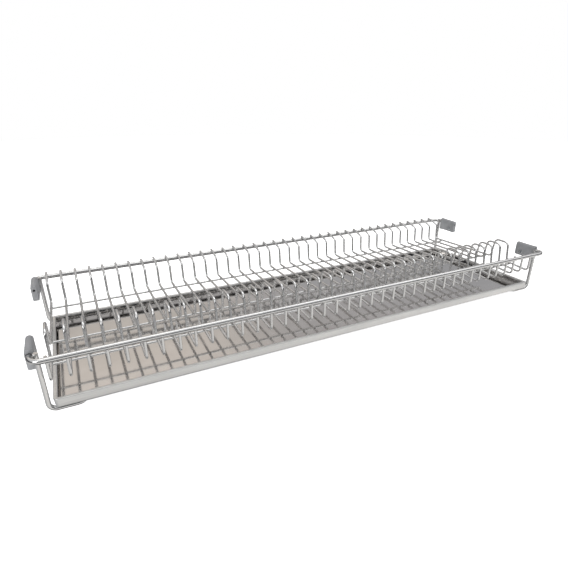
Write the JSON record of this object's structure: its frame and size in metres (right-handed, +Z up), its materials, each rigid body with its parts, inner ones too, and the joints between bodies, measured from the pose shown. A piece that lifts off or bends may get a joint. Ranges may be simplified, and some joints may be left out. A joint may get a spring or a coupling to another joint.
{
  "type": "dish drying rack",
  "caption": "Long stainless wire dish rack with upright humps that part the plates, end clips for fixing between panels and a sliding drip tray.",
  "frame": {"origin": "under the middle of the rack, at the lowest point of the two cradles", "axes": "+X along the rack to the right, +Y from the front rail to the back rail, +Z up"},
  "size_m": [0.863, 0.285, 0.0861],
  "materials": {
    "polished_wire": "electropolished stainless wire, bright",
    "tray_sheet": "brushed stainless sheet along the length, bright polished inside",
    "grey_plastic": "moulded mid grey plastic, satin",
    "screw_steel": "zinc plated steel"
  },
  "bodies": {
    "rack": {"front_rail": "polished_wire", "back_rail": "polished_wire", "plate_wire_00": "polished_wire", "plate_wire_01": "polished_wire", "plate_wire_02": "polished_wire", "plate_wire_03": "polished_wire", "plate_wire_04": "polished_wire", "plate_wire_05": "polished_wire", "plate_wire_06": "polished_wire", "plate_wire_07": "polished_wire", "plate_wire_08": "polished_wire", "plate_wire_09": "polished_wire", "plate_wire_10": "polished_wire", "plate_wire_11": "polished_wire", "plate_wire_12": "polished_wire", "plate_wire_13": "polished_wire", "plate_wire_14": "polished_wire", "plate_wire_15": "polished_wire", "plate_wire_16": "polished_wire", "plate_wire_17": "polished_wire", "plate_wire_18": "polished_wire", "plate_wire_19": "polished_wire", "plate_wire_20": "polished_wire", "plate_wire_21": "polished_wire", "plate_wire_22": "polished_wire", "plate_wire_23": "polished_wire", "plate_wire_24": "polished_wire", "plate_wire_25": "polished_wire", "plate_wire_26": "polished_wire", "plate_wire_27": "polished_wire", "plate_wire_28": "polished_wire", "plate_wire_29": "polished_wire", "plate_wire_30": "polished_wire", "plate_wire_31": "polished_wire", "plate_wire_32": "polished_wire", "plate_wire_33": "polished_wire", "plate_wire_34": "polished_wire", "plate_wire_35": "polished_wire", "plate_wire_36": "polished_wire", "plate_wire_37": "polished_wire", "plate_wire_38": "polished_wire", "front_tie_wire": "polished_wire", "middle_tie_wire": "polished_wire", "back_tie_wire": "polished_wire", "left_cradle": "polished_wire", "right_cradle": "polished_wire", "front_left_clip": "grey_plastic", "front_right_clip": "grey_plastic", "back_left_clip": "grey_plastic", "back_right_clip": "grey_plastic", "front_left_screw": "screw_steel", "front_right_screw": "screw_steel", "back_left_screw": "screw_steel", "back_right_screw": "screw_steel"},
    "tray": {"drip_tray": "tray_sheet"}
  },
  "joints": [
    {"name": "tray_slide", "type": "slide", "parent": "rack", "child": "tray", "axis": [0, -1, 0], "range_m": [0, 0.11]}
  ]
}
